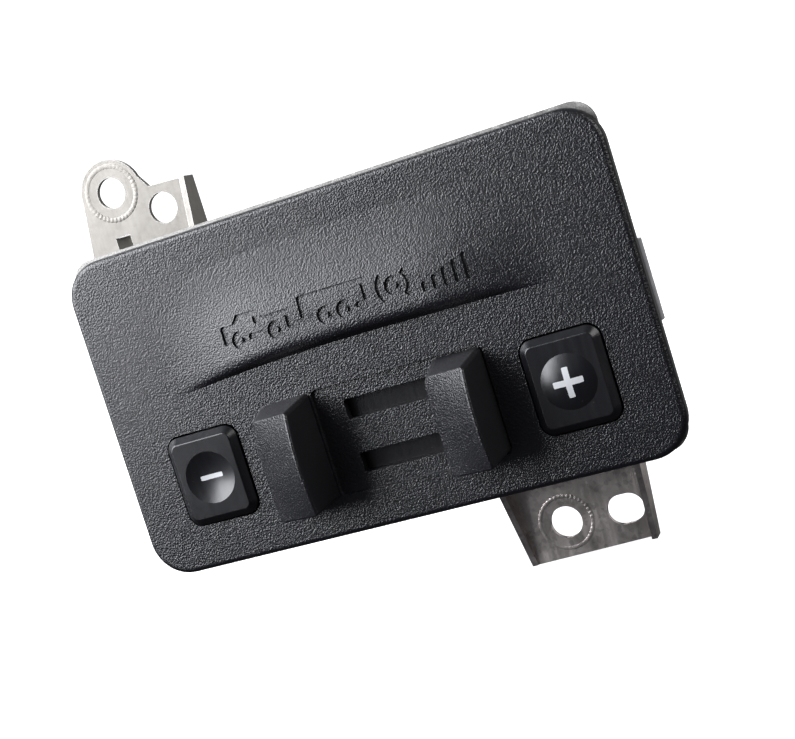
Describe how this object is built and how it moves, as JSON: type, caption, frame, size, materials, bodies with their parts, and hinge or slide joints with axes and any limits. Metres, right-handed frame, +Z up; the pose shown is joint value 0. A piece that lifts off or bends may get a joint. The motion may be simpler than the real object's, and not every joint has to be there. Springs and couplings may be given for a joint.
{
  "type": "brake controller unit",
  "caption": "Dash-mounted trailer brake controller: grained black bezel with thumb rest, sliding brake lever and gain buttons, cast case and zinc brackets.",
  "frame": {"origin": "midway between the two bracket screw holes, in the plane where the brackets rest on the dash structure", "axes": "+X to the driver's right, +Y into the dash, +Z up; the bezel faces -Y"},
  "size_m": [0.1182, 0.0862, 0.1074],
  "materials": {
    "bezel_abs": "fine leather-like grain",
    "lever_abs": "fine grain on the face, smooth ends",
    "smooth_abs": "smooth matt",
    "frame_nylon": "moulded, lightly textured",
    "acetal": "natural acetal",
    "button_abs": "semi-gloss",
    "mark_white": "white second shot",
    "silicone": "translucent grey silicone",
    "stop_rubber": "matt rubber",
    "galvanised_steel": "speckled galvanised sheet",
    "zinc_plated_steel": "bright zinc, rolled and handled",
    "spring_steel": "tempered strip and wire",
    "ground_steel": "ground and polished",
    "nickel_magnet": "nickel plate",
    "screw_steel": "zinc plated, machine screws",
    "rivet_aluminium": "drawn aluminium",
    "cast_aluminium": "die cast, bead blasted",
    "board_green": "solder mask",
    "connector_nylon": "glass-filled nylon",
    "pin_brass": "tinned brass",
    "chip_black": "moulded epoxy",
    "led_clear": "clear epoxy",
    "capacitor_sleeve": "heat-shrunk sleeve",
    "choke_copper": "enamelled copper",
    "thermal_silicone": "soft gap pad",
    "label_film": "blank silver film"
  },
  "bodies": {
    "module": {"bezel": "bezel_abs", "front_frame": "frame_nylon", "minus_dome": "silicone", "plus_dome": "silicone", "lever_stops": "stop_rubber", "case_gasket": "stop_rubber", "chassis_plate": "galvanised_steel", "upper_bracket": "zinc_plated_steel", "lower_bracket": "zinc_plated_steel", "side_clip": "spring_steel", "return_springs": "spring_steel", "guide_rods": "ground_steel", "bezel_screws": "screw_steel", "board_screws": "screw_steel", "power_board_screws": "screw_steel", "case_screws": "screw_steel", "bracket_rivets": "rivet_aluminium", "clip_rivet": "rivet_aluminium", "rear_case": "cast_aluminium", "control_board": "board_green", "power_board": "board_green", "board_header": "connector_nylon", "header_pins": "pin_brass", "controller_chips": "chip_black", "position_sensor": "chip_black", "power_transistors": "chip_black", "button_leds": "led_clear", "filter_capacitors": "capacitor_sleeve", "filter_choke": "choke_copper", "shunt_resistor": "choke_copper", "thermal_pad": "thermal_silicone", "connector_shell": "connector_nylon", "connector_pins": "pin_brass", "rating_label": "label_film"},
    "brake_lever": {"brake_lever": "lever_abs", "lever_shutter": "smooth_abs", "lever_carriage": "acetal", "lever_screws": "screw_steel", "sensor_magnet": "nickel_magnet"},
    "minus_button": {"minus_button": "button_abs", "minus_mark": "mark_white"},
    "plus_button": {"plus_button": "button_abs", "plus_mark": "mark_white"}
  },
  "joints": [
    {"name": "brake_slide", "type": "slide", "parent": "module", "child": "brake_lever", "axis": [-1, 0, 0], "range_m": [0, 0.018], "stiffness_N_per_m": 150, "springref_m": -0.02, "deforming": ["return_springs"]},
    {"name": "minus_press", "type": "slide", "parent": "module", "child": "minus_button", "axis": [0, 1, 0], "range_m": [0, 0.0015], "stiffness_N_per_m": 1200, "springref_m": -0.0008, "deforming": ["minus_dome"]},
    {"name": "plus_press", "type": "slide", "parent": "module", "child": "plus_button", "axis": [0, 1, 0], "range_m": [0, 0.0015], "stiffness_N_per_m": 1200, "springref_m": -0.0008, "deforming": ["plus_dome"]}
  ]
}
